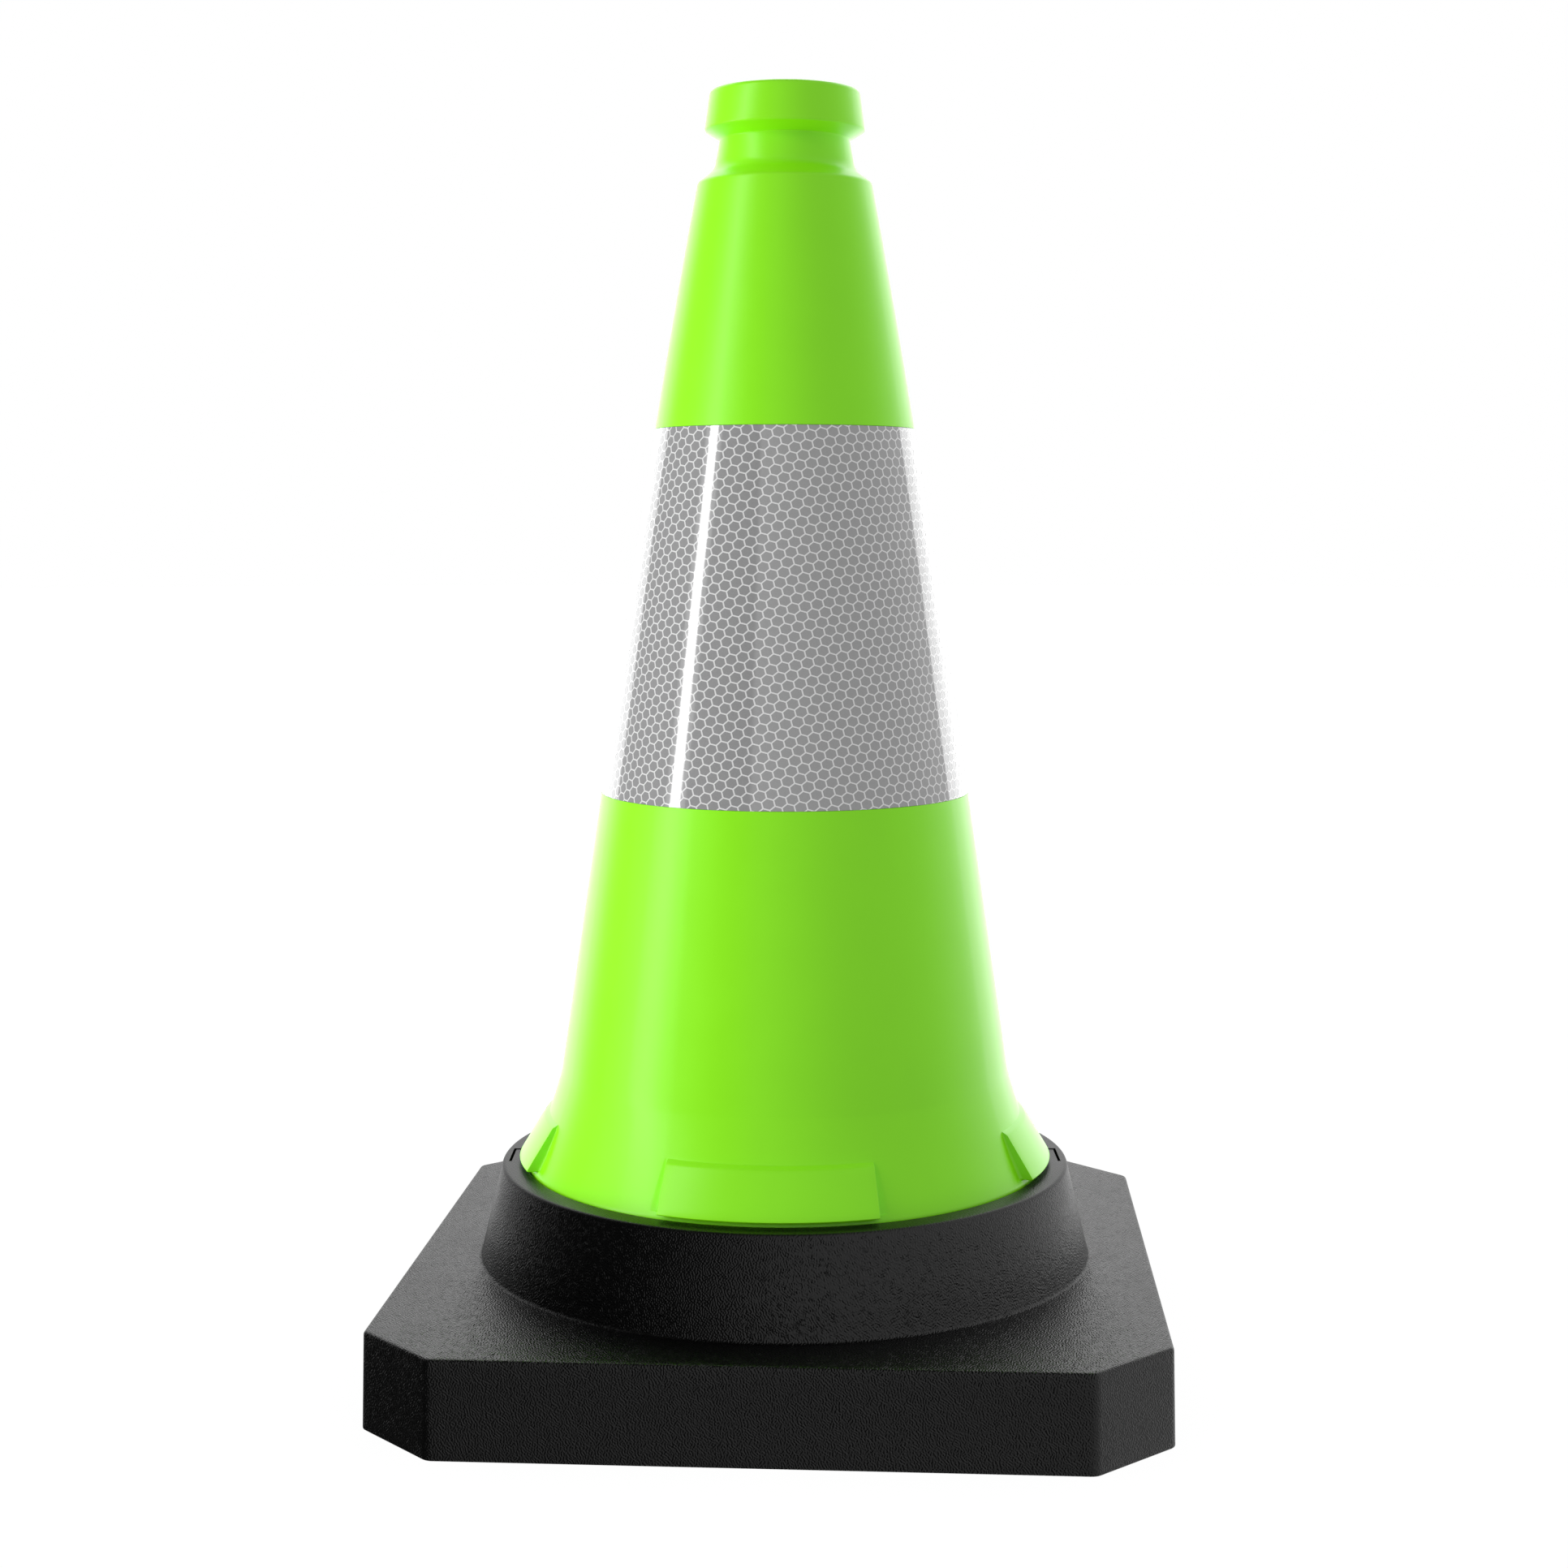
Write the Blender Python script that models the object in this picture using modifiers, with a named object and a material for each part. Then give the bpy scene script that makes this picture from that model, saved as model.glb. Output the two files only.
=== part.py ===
"""A two-part traffic cone, 500 mm tall: a hollow cone body that lifts out of a heavy black base.

Metres, +Z up. The origin is the centre of the base's underside, on the cone's axis.
The base is square to X and Y, with one latch tongue beside the -X lug and one beside the +X lug.
"""

import math

import bmesh
import bpy
from mathutils import Matrix, Vector

MM = 0.001

# Driving dimensions
HEIGHT = 500 * MM
WALL = 2.6 * MM                   # thickness of the cone body's moulding
CLEARANCE = 0.3 * MM              # gap between pieces that touch on the real cone
ROUND_STEPS = 64                  # flats round each turned piece

# Cone wall: a straight taper below BOW_START, which bows gently inwards above it
TAPER_RADIUS = 62.3 * MM          # outer radius at BOW_START
TAPER_SLOPE = 0.1492              # outward run for each unit of drop
BOW_START = 300 * MM
BOW_RADIUS = 3.9
BOW_STEPS = 3

# Grip ring, neck and shoulder, as outer radii and heights
TOP_BORE_RADIUS = 22.5 * MM
RING_TOP_RADIUS = 29.3 * MM
RING_LIP_RADIUS = 31.45 * MM
RING_LIP_Z = HEIGHT - 15.2 * MM
NECK_TOP_RADIUS = 25.5 * MM
NECK_TOP_Z = HEIGHT - 18.7 * MM
NECK_FOOT_RADIUS = 27.7 * MM
NECK_FOOT_Z = HEIGHT - 30.6 * MM
SHOULDER_Z = HEIGHT - 35.6 * MM
RING_TOP_FILLET = 1.8 * MM
RING_LIP_FILLET = 0.9 * MM
NECK_TOP_FILLET = 0.6 * MM
NECK_FOOT_FILLET = 8 * MM
SHOULDER_FILLET = 2.2 * MM

# Reflective band, set flush in a recess
BAND_TOP = 369 * MM
BAND_BOTTOM = 225 * MM
BAND_THICKNESS = 0.5 * MM

# Flare, skirt and lift lugs
FLARE_TOP = 112 * MM
FLARE_RADIUS = 180 * MM
FLARE_STEPS = 5
SKIRT_RADIUS = 104.4 * MM
SKIRT_DRAFT = 0.4 * MM
LUG_COUNT = 4
LUG_TOP = 95.5 * MM
LUG_ROOT_RADIUS = 93.4 * MM       # inside the flare's wall
LUG_LEDGE_DROP = 1.3 * MM
LUG_LEDGE_RADIUS = 97.6 * MM
LUG_BOTTOM = 77 * MM
LUG_RADIUS = 108.1 * MM
LUG_HALF_WIDTH = 41.2 * MM        # at the lug's outer bottom corner
LUG_SIDE_DRAFT = math.radians(14.3)

# Base slab
SLAB_WIDTH = 298 * MM             # at the floor
SLAB_DRAFT = 1 * MM               # each side leans in by this much
SLAB_HEIGHT = 37 * MM
CORNER_CUT = 30 * MM
SLAB_EDGE = 2 * MM

# Collar, and the stepped bore inside it
COLLAR_TOP = 75 * MM
COLLAR_TOP_RADIUS = 114.6 * MM
COLLAR_FOOT_RADIUS = 123.8 * MM
COLLAR_EDGE = 1.6 * MM
BORE_RADIUS = SKIRT_RADIUS + 0.5 * MM
BORE_BEVEL = 0.9 * MM
SEAT_Z = 26 * MM                  # the skirt stands on this ledge
SEAT_BORE_RADIUS = 98.5 * MM
SEAT_THICKNESS = 4 * MM
STACK_BORE_RADIUS = 109.5 * MM    # takes the lugs of the cone below in a stack
STACK_BORE_DRAFT = 0.6 * MM

# Shallow recess under the slab, which leaves a foot rim round the edge and another round the bore
FOOT_RIM = 14 * MM
FOOT_RECESS = 2.5 * MM
BORE_RIM_RADIUS = 117 * MM

# Latch tongues in the collar's rim
TONGUE_TURN = math.radians(3.6)   # each tongue sits this far round from its lug
TONGUE_WIDTH = 20.5 * MM
TONGUE_SINK = 0.4 * MM            # its top is this far below the rim
TONGUE_SLIT = 1 * MM
TONGUE_SLIT_DEPTH = 10 * MM
TONGUE_OUTER_RADIUS = 112.2 * MM

SKIRT_FOOT = SEAT_Z + CLEARANCE
PAST = 5 * MM                     # how far a cutter runs past the face it opens


def clear_scene():
    """Remove whatever objects the scene already holds."""
    for found in list(bpy.data.objects):
        bpy.data.objects.remove(found, do_unlink=True)


def collection(name):
    """Make a collection and put it in the scene."""
    made = bpy.data.collections.new(name)
    bpy.context.scene.collection.children.link(made)
    return made


def material(name, colour, roughness):
    """Make a plain Principled material."""
    made = bpy.data.materials.new(name)
    made.use_nodes = True
    shader = made.node_tree.nodes["Principled BSDF"]
    shader.inputs["Base Color"].default_value = (*colour, 1.0)
    shader.inputs["Roughness"].default_value = roughness
    shader.inputs["Metallic"].default_value = 0.0
    return made


def place(name, mesh, group, look=None):
    """Make an object from a mesh, in a collection, with an optional material."""
    made = bpy.data.objects.new(name, mesh)
    group.objects.link(made)
    if look:
        mesh.materials.append(look)
    return made


def hide_cutter(cutter):
    """Mark an object as one that only shapes others."""
    cutter.hide_render = True
    cutter.display_type = "WIRE"


def rounded(corners, steps=3):
    """Turn (radius, height, fillet) corners into outline points, with an arc at each fillet.

    The outline is closed. A fillet of 0 keeps its corner sharp.
    """
    points = []
    for index, (x, z, fillet) in enumerate(corners):
        corner = Vector((x, z))
        if not fillet:
            points.append(corner)
            continue
        before = (Vector(corners[index - 1][:2]) - corner).normalized()
        after = (Vector(corners[(index + 1) % len(corners)][:2]) - corner).normalized()
        half = before.angle(after) / 2
        centre = corner + (before + after).normalized() * (fillet / math.sin(half))
        first = corner + before * (fillet / math.tan(half)) - centre
        last = corner + after * (fillet / math.tan(half)) - centre
        turn = first.angle_signed(last)
        for step in range(steps + 1):
            angle = -turn * step / steps
            points.append(centre + Matrix.Rotation(angle, 2) @ first)
    return points


def arc_between(start, end, radius, steps):
    """Points on a circular arc from start to end, without the start. Its centre is left of the path."""
    chord = end - start
    left = Vector((-chord.y, chord.x)).normalized()
    reach = math.sqrt(radius**2 - (chord.length / 2) ** 2)
    centre = (start + end) / 2 + left * reach
    turn = (start - centre).angle_signed(end - centre)
    points = []
    for step in range(1, steps + 1):
        points.append(centre + Matrix.Rotation(-turn * step / steps, 2) @ (start - centre))
    return points


def turned(name, outline, group, look=None, closed=True):
    """Make a turned solid: the outline at +X, run down its outer side, goes round Z with a Screw modifier."""
    mesh = bpy.data.meshes.new(name)
    edges = [(index, index + 1) for index in range(len(outline) - 1)]
    if closed:
        edges.append((len(outline) - 1, 0))
    mesh.from_pydata([(x, 0, z) for x, z in outline], edges, [])
    made = place(name, mesh, group, look)
    screw = made.modifiers.new("turn", "SCREW")
    screw.axis = "Z"
    screw.steps = ROUND_STEPS
    screw.render_steps = ROUND_STEPS
    screw.use_merge_vertices = True
    screw.merge_threshold = 0.00001
    screw.use_smooth_shade = True
    return made


def combine(target, other, operation):
    """Add a Boolean modifier to target."""
    cut = target.modifiers.new(other.name, "BOOLEAN")
    cut.operation = operation
    cut.object = other


def cone_radius(z):
    """Outer radius of the plain cone wall at height z."""
    radius = TAPER_RADIUS - TAPER_SLOPE * (z - BOW_START)
    if z > BOW_START:
        radius -= (z - BOW_START) ** 2 / (2 * BOW_RADIUS)
    return radius


def wall_points(top, bottom, offset):
    """Points down the cone wall from top to BOW_START, then to bottom, moved sideways by offset."""
    heights = [top + (BOW_START - top) * step / BOW_STEPS for step in range(BOW_STEPS + 1)]
    heights.append(bottom)
    return [Vector((cone_radius(z) + offset, z)) for z in heights]


def flare_points(offset):
    """Points down the flare, from below FLARE_TOP to the collar's rim, moved sideways by offset."""
    start = Vector((cone_radius(FLARE_TOP) + offset, FLARE_TOP))
    end = Vector((SKIRT_RADIUS + offset, COLLAR_TOP))
    return arc_between(start, end, FLARE_RADIUS, FLARE_STEPS)


def neck_outline():
    """Outer outline from the open top's edge down to the shoulder."""
    corners = [
        (TOP_BORE_RADIUS, HEIGHT, 0),
        (RING_TOP_RADIUS, HEIGHT, RING_TOP_FILLET),
        (RING_LIP_RADIUS, RING_LIP_Z, RING_LIP_FILLET),
        (NECK_TOP_RADIUS, NECK_TOP_Z, NECK_TOP_FILLET),
        (NECK_FOOT_RADIUS, NECK_FOOT_Z, NECK_FOOT_FILLET),
        (cone_radius(SHOULDER_Z), SHOULDER_Z, SHOULDER_FILLET),
        (cone_radius(BAND_TOP), BAND_TOP, 0),
    ]
    return rounded(corners)[:-1]


def cone_outline():
    """The whole closed outline of the cone body: down the outside, then up the inside."""
    recess = BAND_THICKNESS + CLEARANCE
    recess_top = BAND_TOP + CLEARANCE
    recess_bottom = BAND_BOTTOM - CLEARANCE
    inner_shoulder_z = SHOULDER_Z - 2 * WALL

    outline = neck_outline()
    for step in range(1, BOW_STEPS + 1):
        z = SHOULDER_Z + (recess_top - SHOULDER_Z) * step / BOW_STEPS
        outline.append(Vector((cone_radius(z), z)))
    outline += wall_points(recess_top, recess_bottom, -recess)
    outline.append(Vector((cone_radius(recess_bottom), recess_bottom)))
    outline.append(Vector((cone_radius(FLARE_TOP), FLARE_TOP)))
    outline += flare_points(0)
    outline.append(Vector((SKIRT_RADIUS - SKIRT_DRAFT, SKIRT_FOOT)))

    inside = wall_points(inner_shoulder_z, FLARE_TOP, -WALL) + flare_points(-WALL)
    inside.append(Vector((SKIRT_RADIUS - SKIRT_DRAFT - WALL, SKIRT_FOOT)))
    inside.reverse()
    outline += inside
    outline.append(Vector((NECK_FOOT_RADIUS - WALL, NECK_FOOT_Z)))
    outline.append(Vector((NECK_TOP_RADIUS - WALL, NECK_TOP_Z)))
    return outline


def lug_sectors(group):
    """Four flat-sided prisms, one over each lug, whose sides draw together towards the axis."""
    far = LUG_RADIUS + 4 * PAST
    near = LUG_ROOT_RADIUS - 4 * PAST
    floor = LUG_BOTTOM - PAST
    ceiling = LUG_TOP + PAST
    corner_y = math.sqrt(LUG_RADIUS**2 - LUG_HALF_WIDTH**2)
    body = bmesh.new()
    for index in range(LUG_COUNT):
        box = bmesh.ops.create_cube(body, size=1)["verts"]
        for vert in box:
            y = far if vert.co.y > 0 else near
            z = ceiling if vert.co.z > 0 else floor
            half_width = LUG_HALF_WIDTH + (y - corner_y) * math.tan(LUG_SIDE_DRAFT)
            vert.co = Vector((math.copysign(half_width, vert.co.x), y, z))
        turn = Matrix.Rotation(index * math.tau / LUG_COUNT, 3, "Z")
        bmesh.ops.rotate(body, verts=box, cent=(0, 0, 0), matrix=turn)
    mesh = bpy.data.meshes.new("lug_sectors")
    body.to_mesh(mesh)
    body.free()
    return place("lug_sectors", mesh, group)


def lug_ring(group):
    """The lugs: a wedge-shaped ring, cut down to its four sectors. It starts inside the cone's wall."""
    outline = [
        Vector((LUG_ROOT_RADIUS, LUG_TOP)),
        Vector((LUG_LEDGE_RADIUS - LUG_LEDGE_DROP, LUG_TOP - LUG_LEDGE_DROP / 2)),
        Vector((LUG_LEDGE_RADIUS, LUG_TOP - LUG_LEDGE_DROP)),
        Vector((LUG_RADIUS, LUG_BOTTOM)),
        Vector((SKIRT_RADIUS - WALL / 2, LUG_BOTTOM)),
    ]
    ring = turned("lug_ring", outline, group)
    combine(ring, lug_sectors(group), "INTERSECT")
    return ring


def build_cone_body(group, cutters):
    """The green moulding: turned shell with four lugs joined to its flare."""
    green = material("fluorescent_green", (0.24, 0.80, 0.02), 0.42)
    body = turned("cone_body", cone_outline(), group, green)
    combine(body, lug_ring(cutters), "UNION")
    return body


def build_reflective_band(group):
    """The reflective film, one thin sleeve whose face is flush with the cone."""
    silver = material("reflective_film", (0.62, 0.62, 0.63), 0.2)
    outline = wall_points(BAND_TOP, BAND_BOTTOM, 0)
    inside = wall_points(BAND_TOP, BAND_BOTTOM, -BAND_THICKNESS)
    inside.reverse()
    return turned("reflective_band", outline + inside, group, silver)


def octagon_prism(name, half_width, corner_cut, bottom, top, group):
    """A square prism with its four upright edges cut at 45 degrees."""
    body = bmesh.new()
    bmesh.ops.create_cube(body, size=2)
    for vert in body.verts:
        z = top if vert.co.z > 0 else bottom
        vert.co = Vector((vert.co.x * half_width, vert.co.y * half_width, z))
    upright = [edge for edge in body.edges if abs(edge.verts[0].co.z - edge.verts[1].co.z) > 0]
    bmesh.ops.bevel(body, geom=upright, offset=corner_cut, segments=1, affect="EDGES")
    bmesh.ops.recalc_face_normals(body, faces=body.faces)
    mesh = bpy.data.meshes.new(name)
    body.to_mesh(mesh)
    body.free()
    return place(name, mesh, group)


def slab(group, look):
    """The base's slab: cut corners, sides that lean in slightly, rounded edges."""
    half = SLAB_WIDTH / 2
    made = octagon_prism("base", half, CORNER_CUT, 0, SLAB_HEIGHT, group)
    made.data.materials.append(look)
    for vert in made.data.vertices:
        if vert.co.z > 0:
            vert.co.x *= (half - SLAB_DRAFT) / half
            vert.co.y *= (half - SLAB_DRAFT) / half
    edges = made.modifiers.new("edges", "BEVEL")
    edges.width = SLAB_EDGE
    edges.segments = 2
    edges.limit_method = "ANGLE"
    edges.angle_limit = math.radians(30)
    return made


def collar(group):
    """The collar's outer shape, a solid that runs down into the slab."""
    slope = (COLLAR_FOOT_RADIUS - COLLAR_TOP_RADIUS) / (COLLAR_TOP - SLAB_HEIGHT)
    corners = [
        (0, COLLAR_TOP, 0),
        (COLLAR_TOP_RADIUS, COLLAR_TOP, COLLAR_EDGE),
        (COLLAR_FOOT_RADIUS + slope * PAST, SLAB_HEIGHT - PAST, 0),
        (0, SLAB_HEIGHT - PAST, 0),
    ]
    return turned("collar", rounded(corners), group, closed=False)


def stepped_bore(group):
    """Cutter for the bore: rim bevel, bore, seat ledge, and the wider bore that clears a stacked cone."""
    outline = [
        Vector((0, COLLAR_TOP + PAST)),
        Vector((BORE_RADIUS + BORE_BEVEL + PAST, COLLAR_TOP + PAST)),
        Vector((BORE_RADIUS, COLLAR_TOP - BORE_BEVEL)),
        Vector((BORE_RADIUS, SEAT_Z)),
        Vector((SEAT_BORE_RADIUS, SEAT_Z)),
        Vector((SEAT_BORE_RADIUS, SEAT_Z - SEAT_THICKNESS)),
        Vector((STACK_BORE_RADIUS, SEAT_Z - SEAT_THICKNESS)),
        Vector((STACK_BORE_RADIUS + STACK_BORE_DRAFT, -PAST)),
        Vector((0, -PAST)),
    ]
    return turned("stepped_bore", outline, group, closed=False)


def foot_recess(group):
    """Cutter for the shallow recess under the slab, with the rim round the bore left standing."""
    rim = turned(
        "bore_rim",
        [
            Vector((0, FOOT_RECESS + PAST)),
            Vector((BORE_RIM_RADIUS, FOOT_RECESS + PAST)),
            Vector((BORE_RIM_RADIUS, -2 * PAST)),
            Vector((0, -2 * PAST)),
        ],
        group,
        closed=False,
    )
    inner_cut = CORNER_CUT - FOOT_RIM * (2 - math.sqrt(2))
    made = octagon_prism(
        "foot_recess", SLAB_WIDTH / 2 - FOOT_RIM, inner_cut, -PAST, FOOT_RECESS, group
    )
    combine(made, rim, "DIFFERENCE")
    return made


def tongue_cutter(name, inner, outer, bottom, group):
    """A box over each latch tongue, from inner to outer radius and from bottom to above the rim."""
    body = bmesh.new()
    size = Vector((outer - inner, TONGUE_WIDTH, COLLAR_TOP + PAST - bottom))
    centre = Vector((inner + outer, 0, COLLAR_TOP + PAST + bottom)) / 2
    for side in (0, math.pi):
        box = bmesh.ops.create_cube(body, size=1)["verts"]
        bmesh.ops.scale(body, verts=box, vec=size)
        bmesh.ops.translate(body, verts=box, vec=centre)
        turn = Matrix.Rotation(side + TONGUE_TURN, 3, "Z")
        bmesh.ops.rotate(body, verts=box, cent=(0, 0, 0), matrix=turn)
    mesh = bpy.data.meshes.new(name)
    body.to_mesh(mesh)
    body.free()
    return place(name, mesh, group)


def tongue_cutters(group):
    """The cut that sinks the tongues' tops below the rim, and the slit behind them that lets them bend."""
    sink = tongue_cutter(
        "tongue_sink", BORE_RADIUS - PAST, TONGUE_OUTER_RADIUS, COLLAR_TOP - TONGUE_SINK, group
    )
    slit = tongue_cutter(
        "tongue_slit",
        TONGUE_OUTER_RADIUS - TONGUE_SLIT,
        TONGUE_OUTER_RADIUS,
        COLLAR_TOP - TONGUE_SLIT_DEPTH,
        group,
    )
    return sink, slit


def build_base(group, cutters):
    """The black base: slab and collar in one, bored through for the cone's skirt."""
    black = material("black_base", (0.012, 0.012, 0.013), 0.6)
    base = slab(group, black)
    combine(base, collar(cutters), "UNION")
    combine(base, stepped_bore(cutters), "DIFFERENCE")
    combine(base, foot_recess(cutters), "DIFFERENCE")
    for cutter in tongue_cutters(cutters):
        combine(base, cutter, "DIFFERENCE")
    return base


def main():
    clear_scene()
    parts = collection("traffic_cone")
    cutters = collection("cutters")
    cone = build_cone_body(parts, cutters)
    band = build_reflective_band(parts)
    build_base(parts, cutters)
    band.parent = cone
    for cutter in cutters.objects:
        hide_cutter(cutter)


main()
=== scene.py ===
"""A two-part traffic cone in a pale studio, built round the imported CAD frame.

Metres, +Z up. The origin is the centre of the base's underside, on the cone's axis. Three pieces
stand for the three CAD nodes: the green moulding and its honeycomb film ride on the cone body,
and the black moulding rides on the base.
"""

import math

import bmesh
import bpy
from mathutils import Matrix, Vector


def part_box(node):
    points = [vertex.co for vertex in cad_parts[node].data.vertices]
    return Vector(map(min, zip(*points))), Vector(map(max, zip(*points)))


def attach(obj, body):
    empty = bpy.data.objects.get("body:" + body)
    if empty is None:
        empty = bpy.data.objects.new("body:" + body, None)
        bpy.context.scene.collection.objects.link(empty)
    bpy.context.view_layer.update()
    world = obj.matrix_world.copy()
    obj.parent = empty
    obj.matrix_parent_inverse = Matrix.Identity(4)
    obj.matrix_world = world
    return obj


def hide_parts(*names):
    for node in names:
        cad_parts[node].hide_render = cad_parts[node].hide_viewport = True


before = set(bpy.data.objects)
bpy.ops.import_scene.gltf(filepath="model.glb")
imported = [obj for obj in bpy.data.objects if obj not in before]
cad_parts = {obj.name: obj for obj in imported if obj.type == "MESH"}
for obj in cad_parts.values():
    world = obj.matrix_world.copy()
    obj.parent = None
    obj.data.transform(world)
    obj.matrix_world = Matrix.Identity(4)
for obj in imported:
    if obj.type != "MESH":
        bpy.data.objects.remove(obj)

MM = 0.001
SAME_PLACE = MM / 1000            # points nearer than this are one point
ON_CUT = SAME_PLACE / 10          # and points nearer than this to a cut are on it
SHARP = math.radians(35)          # edges that turn more than this are shaded sharp
ROW_SPACING = 8 * MM              # the longest step down the cone's plain wall

# ---------------------------------------------------------------- sizes from the CAD frame
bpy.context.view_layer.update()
CONE_LOW, CONE_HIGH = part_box("cone_body")
BAND_LOW, BAND_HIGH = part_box("reflective_band")
BASE_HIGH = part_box("base")[1]

HEIGHT = CONE_HIGH.z
SKIRT_FOOT = CONE_LOW.z
LUG_RADIUS = CONE_HIGH.x
BAND_TOP = BAND_HIGH.z
BAND_BOTTOM = BAND_LOW.z
SLAB_HALF = BASE_HIGH.x
COLLAR_TOP = BASE_HIGH.z

# ---------------------------------------------------------------- sizes of the cone moulding
WALL = 2.6 * MM
TAPER_RADIUS = 62.3 * MM          # outer radius at BOW_START
TAPER_SLOPE = 0.1492              # outward run for each unit of drop
BOW_START = 300 * MM              # the wall bows gently inwards above this height
BOW_RADIUS = 3.9                  # metres

TOP_BORE_RADIUS = 22.5 * MM
RING_TOP_RADIUS = 29.35 * MM
RING_LIP_RADIUS = 31.45 * MM
RING_LIP_Z = HEIGHT - 15.2 * MM
NECK_TOP_RADIUS = 25.5 * MM
NECK_TOP_Z = HEIGHT - 18.7 * MM
NECK_FOOT_RADIUS = 27.7 * MM
NECK_FOOT_Z = HEIGHT - 30.6 * MM
SHOULDER_Z = HEIGHT - 35.6 * MM

FLARE_TOP = 112 * MM
FLARE_RADIUS = 180 * MM
SKIRT_RADIUS = 104.4 * MM
SKIRT_DRAFT = 0.4 * MM            # how much the skirt's radius shrinks down to its foot
FILM_RECESS = 0.5 * MM

LUG_COUNT = 4
LUG_TOP = 95.5 * MM
LUG_LEDGE_Z = 94.2 * MM
LUG_LEDGE_RADIUS = 97.6 * MM
LUG_BOTTOM = 77 * MM
LUG_HALF_WIDTH = 41.6 * MM        # at the lug's outer bottom corner
LUG_SIDE_DRAFT = math.radians(14.3)
LUG_CORNER = 0.05                 # edge rounding, as a share of the lug's height off the flare
LUG_FILLET = 0.3                  # root fillet, as a share of the same height
LUG_GROOVE = 0.08                 # how far the flare dips beside a lug, as a share of it too
LUG_GROOVE_RETURN = 0.8           # and over how much it comes back up
FLARE_EVENNESS = 0.12             # how evenly the points beside a lug are spread down the flare
LUG_SPREAD_LEAST = 1.5 * MM       # stands for that height where there is no lug

# ---------------------------------------------------------------- sizes of the honeycomb film
FILM_THICKNESS = 0.45 * MM
CELL_PITCH = 4.03 * MM
CELL_STRETCH = 1.157              # the cells are this much wider than regular hexagons
CELL_TURN = math.radians(13.25)   # the climb of a row of cells, before they're stretched
CELL_SHIFT = Vector((-0.69, 2.29)) * MM   # where the middle of one cell is, on the flat sheet
CELL_WALL = 0.5 * MM
CELL_RELIEF = 0.06 * MM           # how deep a cell's floor is sunk
CELL_SLOPE = 0.05 * MM            # and how wide the slope down to it is
SEAM_GAP = 0.3 * MM

# ---------------------------------------------------------------- sizes of the base moulding
SLAB_HEIGHT = 37 * MM
SLAB_DRAFT = 1 * MM               # the slab's sides lean in by this much at the top
CORNER_CUT = 30 * MM
SLAB_EDGE = 1.4 * MM
FOOT_EDGE = 0.6 * MM
INNER_EDGE = 0.5 * MM             # the edges of the bore and the underside
CORNER_EDGE = 5.5 * MM
CORNER_EDGE_LEAST = 0.3 * MM
COLLAR_TOP_RADIUS = 114.6 * MM
COLLAR_FOOT_RADIUS = 123.8 * MM
COLLAR_EDGE = 1.5 * MM
COLLAR_FOOT_FILLET = 1.5 * MM
BORE_RADIUS = SKIRT_RADIUS + 0.9 * MM
BORE_EDGE = 0.5 * MM
SEAT_Z = 26 * MM
SEAT_THICKNESS = 4 * MM
SEAT_BORE_RADIUS = 98.5 * MM
STACK_BORE_RADIUS = 109.5 * MM
STACK_BORE_DRAFT = 0.6 * MM
FOOT_RIM = 14 * MM
FOOT_RECESS = 2.5 * MM
BORE_RIM_RADIUS = 117 * MM
TONGUE_COUNT = 2
TONGUE_TURN = math.radians(3.6)
TONGUE_WIDTH = 20.5 * MM
TONGUE_SINK = 0.3 * MM
TONGUE_SLIT = 1 * MM
TONGUE_SLIT_DEPTH = 10 * MM
TONGUE_OUTER_RADIUS = 111.8 * MM

GRAIN_SCALE = 540.0               # cells of the black plastic's leather grain in a metre
GRAIN_SPREAD = 0.65 * math.pi     # the directions of its lines are spread over this angle

# ---------------------------------------------------------------- camera and studio
CAMERA_DISTANCE = 993.4 * MM      # along the floor, from the cone's axis
CAMERA_HEIGHT = 332.9 * MM
CAMERA_TURN = math.radians(3.552)  # the camera stands this far round to the right of -Y
CAMERA_PITCH = math.radians(6.054)
CAMERA_YAW = math.radians(0.019)
CAMERA_LENS = 56.93               # millimetres, as Blender counts it


# ---------------------------------------------------------------- outlines
def rounded(corners, steps=5):
    """Turn (radius, height, fillet) corners into a path, with an arc at each filleted corner.

    The path is open: its first and last corners need a fillet of 0.
    """
    points = []
    for index, (x, z, fillet) in enumerate(corners):
        corner = Vector((x, z))
        if not fillet:
            points.append(corner)
            continue
        before = (Vector(corners[index - 1][:2]) - corner).normalized()
        after = (Vector(corners[index + 1][:2]) - corner).normalized()
        half = before.angle(after) / 2
        centre = corner + (before + after).normalized() * (fillet / math.sin(half))
        first = corner + before * (fillet / math.tan(half)) - centre
        last = corner + after * (fillet / math.tan(half)) - centre
        turn = first.angle_signed(last)
        for step in range(steps + 1):
            points.append(centre + Matrix.Rotation(-turn * step / steps, 2) @ first)
    return points


def filled_in(path, longest):
    """The path with extra points, so that no stretch is longer than longest."""
    points = [path[0]]
    for start, end in zip(path, path[1:]):
        count = max(1, math.ceil((end - start).length / longest))
        for step in range(1, count + 1):
            points.append(start.lerp(end, step / count))
    return points


def mesh_from(name, body):
    """A mesh with the shape of a bmesh, which is freed."""
    mesh = bpy.data.meshes.new(name)
    body.to_mesh(mesh)
    body.free()
    return mesh


def ring_mesh(name, rows):
    """Join rows of points, each closed round the axis, into a body that closes on its first row."""
    body = bmesh.new()
    count = len(rows[0])
    verts = [[body.verts.new(point) for point in row] for row in rows]
    for here, below in zip(verts, verts[1:] + verts[:1]):
        for index in range(count):
            after = (index + 1) % count
            body.faces.new((here[index], below[index], below[after], here[after]))
    bmesh.ops.remove_doubles(body, verts=body.verts, dist=SAME_PLACE)
    bmesh.ops.recalc_face_normals(body, faces=body.faces)
    return mesh_from(name, body)


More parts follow.
